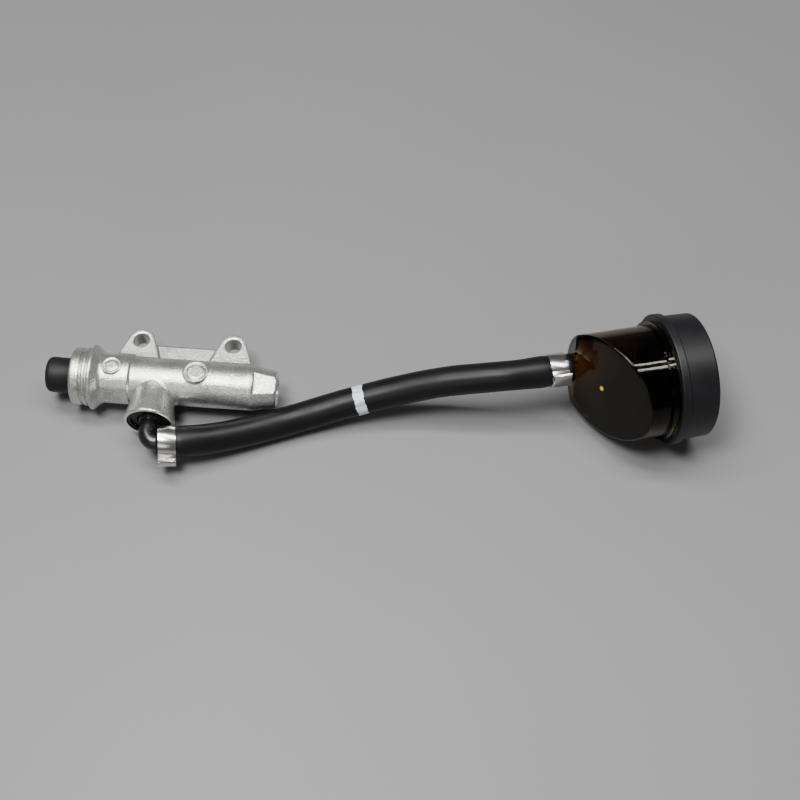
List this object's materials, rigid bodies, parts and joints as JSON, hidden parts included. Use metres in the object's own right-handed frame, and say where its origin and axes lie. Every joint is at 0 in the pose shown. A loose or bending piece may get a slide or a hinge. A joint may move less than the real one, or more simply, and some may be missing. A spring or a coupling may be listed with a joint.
{
  "type": "brake master cylinder",
  "caption": "Rear brake master cylinder with a bracket of two bolt ears, a rubber dust boot, an elbow, a clamped feed hose and a smoked remote reservoir with a screw cap.",
  "frame": {"origin": "midway between the two mounting holes, in the middle plane of the ears", "axes": "+X along the bore towards the outlet, +Y from the bore towards the ears, +Z along the mounting holes"},
  "size_m": [0.2828, 0.0782, 0.0551],
  "materials": {
    "cast_aluminium": "silver paint over a fine sand-cast grain, satin",
    "boot_rubber": "matte moulded rubber",
    "seal_rubber": "smooth moulded rubber",
    "hose_rubber": "satin extruded rubber",
    "spring_steel": "oiled dark spring steel",
    "zinc_steel": "bright zinc plate",
    "anodised_piston": "hard anodised, fine turned",
    "elbow_plastic": "glossy black moulded plastic",
    "stainless_clamp": "bright rolled stainless strip",
    "smoked_plastic": "glossy smoked amber translucent plastic",
    "white_plastic": "natural acetal",
    "cap_plastic": "satin black moulded plastic"
  },
  "bodies": {
    "housing": {"cylinder_body": "cast_aluminium", "dust_boot": "boot_rubber", "piston_circlip": "spring_steel", "stop_washer": "zinc_steel", "return_spring": "spring_steel", "elbow_fitting": "elbow_plastic", "elbow_o_ring": "seal_rubber", "elbow_washer": "elbow_plastic", "elbow_circlip": "spring_steel", "feed_hose": "hose_rubber", "clamp_cylinder_end": "stainless_clamp", "clamp_reservoir_end": "stainless_clamp", "reservoir_tank": "smoked_plastic", "diaphragm": "seal_rubber"},
    "piston_group": {"piston": "anodised_piston", "secondary_cup": "seal_rubber", "cup_washer": "zinc_steel", "primary_cup": "seal_rubber", "spring_seat": "zinc_steel"},
    "cap_carrier": {"slip_ring": "white_plastic"},
    "cap": {"reservoir_cap": "cap_plastic"}
  },
  "joints": [
    {"name": "piston_slide", "type": "slide", "parent": "housing", "child": "piston_group", "axis": [1, 0, 0], "range_m": [0, 0.012], "stiffness_N_per_m": 1500, "springref_m": -0.012, "deforming": ["return_spring"]},
    {"name": "cap_lift", "type": "slide", "parent": "housing", "child": "cap_carrier", "axis": [0.9522, 0.2966, -0.0732], "range_m": [0, 0.0061]},
    {"name": "cap_turn", "type": "hinge", "parent": "cap_carrier", "child": "cap", "pos_m": [0.2019, -0.0086, 0.01365], "axis": [0.9522, 0.2966, -0.0732], "range_deg": [0, 720]}
  ],
  "couplings": [
    {"joint": "cap_lift", "follows": "cap_turn", "m_per_rad": 0.00047746}
  ]
}
